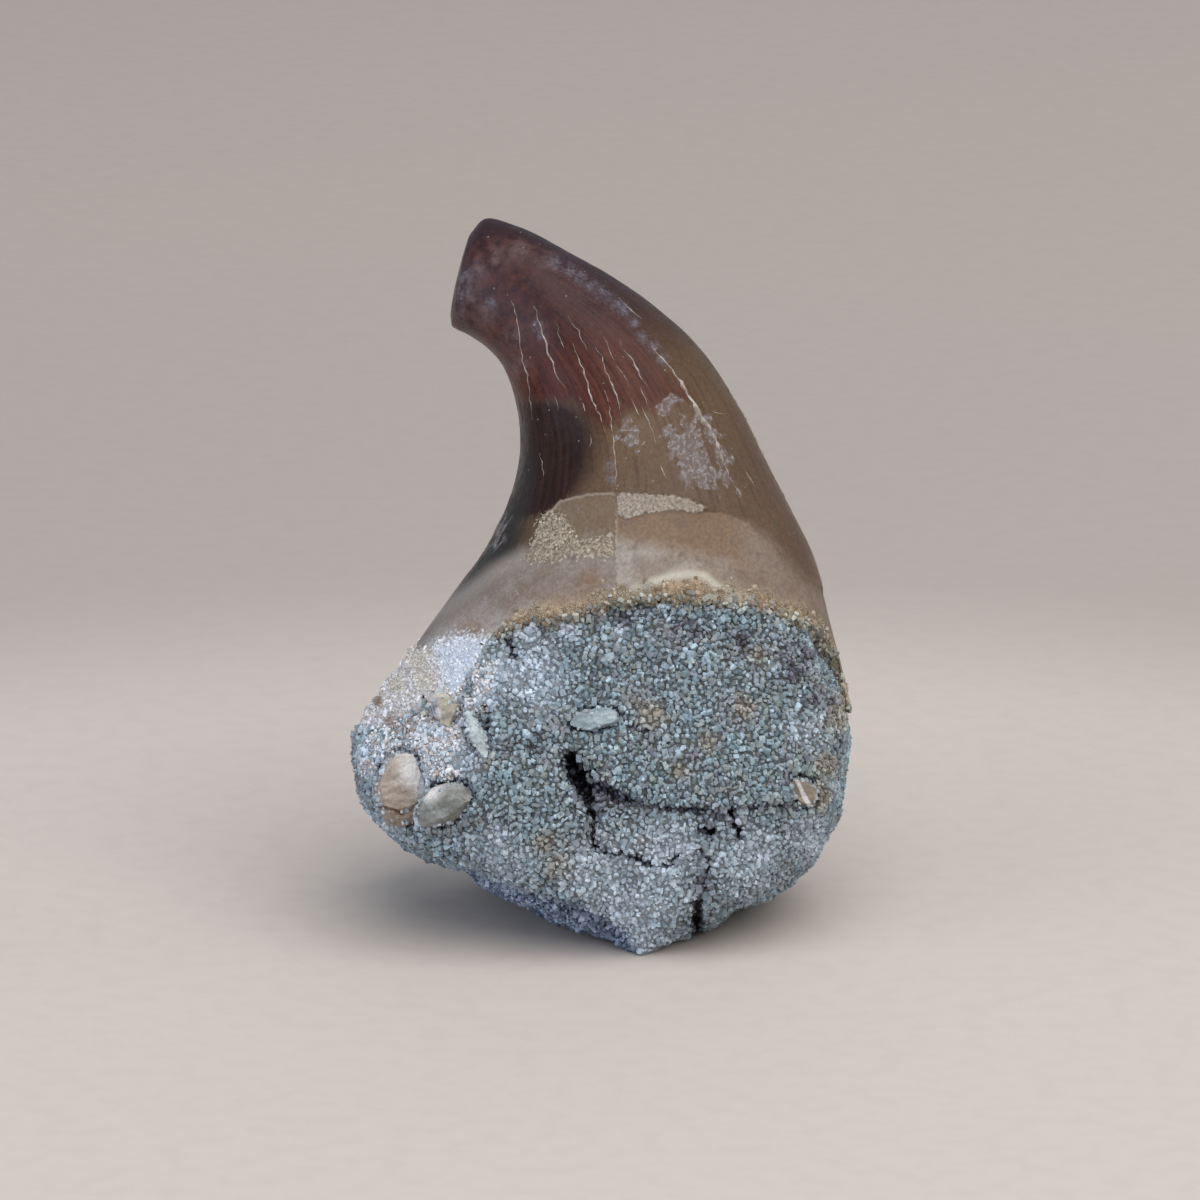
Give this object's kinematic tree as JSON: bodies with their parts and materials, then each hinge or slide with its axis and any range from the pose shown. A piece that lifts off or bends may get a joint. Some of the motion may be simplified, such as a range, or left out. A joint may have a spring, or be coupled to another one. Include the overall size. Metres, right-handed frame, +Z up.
{
  "type": "fossil mosasaur tooth in sandstone",
  "caption": "Hooked fossil marine reptile tooth, dark and glossy, with its broken root set in a rough lump of coarse sandstone holding chips of bone.",
  "frame": {"origin": "centre of the bounding box's base, on the plane of the flat foot", "axes": "+Z up through the tooth's tip, -Y out of the broken front face, the tip hooks towards -X"},
  "size_m": [0.0434, 0.0368, 0.0582],
  "materials": {
    "tooth": "glossy fossil enamel, matt root",
    "sandstone": "coarse grains",
    "tan_bone_chip": "worn",
    "green_bone_lens": "smooth",
    "ochre_flake": "rough",
    "pale_sliver": "smooth",
    "pale_splinter": "smooth",
    "side_bone_chip": "rough"
  },
  "bodies": {
    "root": {"tooth": "tooth", "sandstone": "sandstone", "tan_bone_chip": "tan_bone_chip", "green_bone_lens": "green_bone_lens", "ochre_flake": "ochre_flake", "pale_sliver": "pale_sliver", "pale_splinter": "pale_splinter", "side_bone_chip": "side_bone_chip"}
  },
  "joints": []
}
